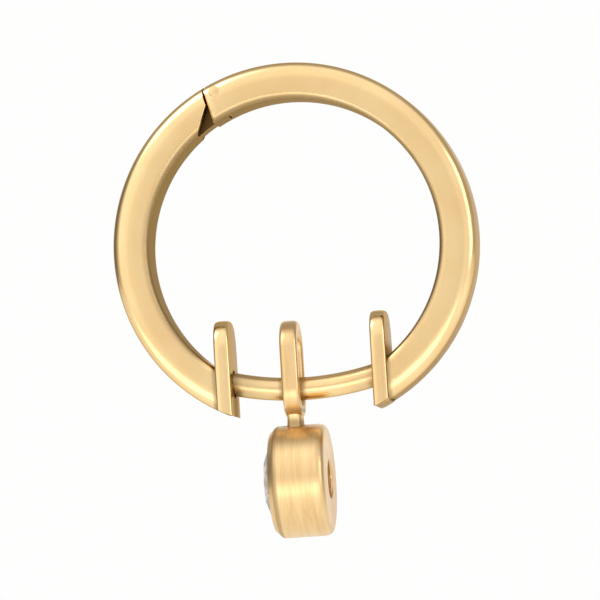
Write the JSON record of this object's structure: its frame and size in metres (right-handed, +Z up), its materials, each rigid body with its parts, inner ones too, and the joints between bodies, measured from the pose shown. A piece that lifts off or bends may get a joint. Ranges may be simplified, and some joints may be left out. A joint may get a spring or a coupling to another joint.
{
  "type": "hinged huggie earring with a bezel charm",
  "caption": "Round hinged huggie hoop with a bowed ear post between guard plates and a swinging bezel-set charm.",
  "frame": {"origin": "middle of the ear post, on its centreline", "axes": "+Z up through the hoop, +X along the post towards the plate that it is soldered to, +Y along the hoop's axis, across the band"},
  "size_m": [0.014, 0.0044, 0.0182],
  "materials": {
    "hoop_gold": "polished yellow gold plating",
    "pin_gold": "polished yellow gold plating",
    "charm_gold": "polished yellow gold with fine turning marks",
    "clear_stone": "colourless faceted stone"
  },
  "bodies": {
    "hoop": {"main_arm": "hoop_gold", "hinge_pin": "pin_gold"},
    "catch": {"catch_arm": "hoop_gold"},
    "charm": {"charm_setting": "charm_gold", "stone": "clear_stone"}
  },
  "joints": [
    {"name": "catch_hinge", "type": "hinge", "parent": "hoop", "child": "catch", "pos_m": [-0.0027, 0, 0.01157], "axis": [0, 1, 0], "range_deg": [0, 75]},
    {"name": "charm_swing", "type": "hinge", "parent": "hoop", "child": "charm", "pos_m": [-0.00045, 0, 0], "axis": [1, 0, 0], "continuous": true}
  ]
}
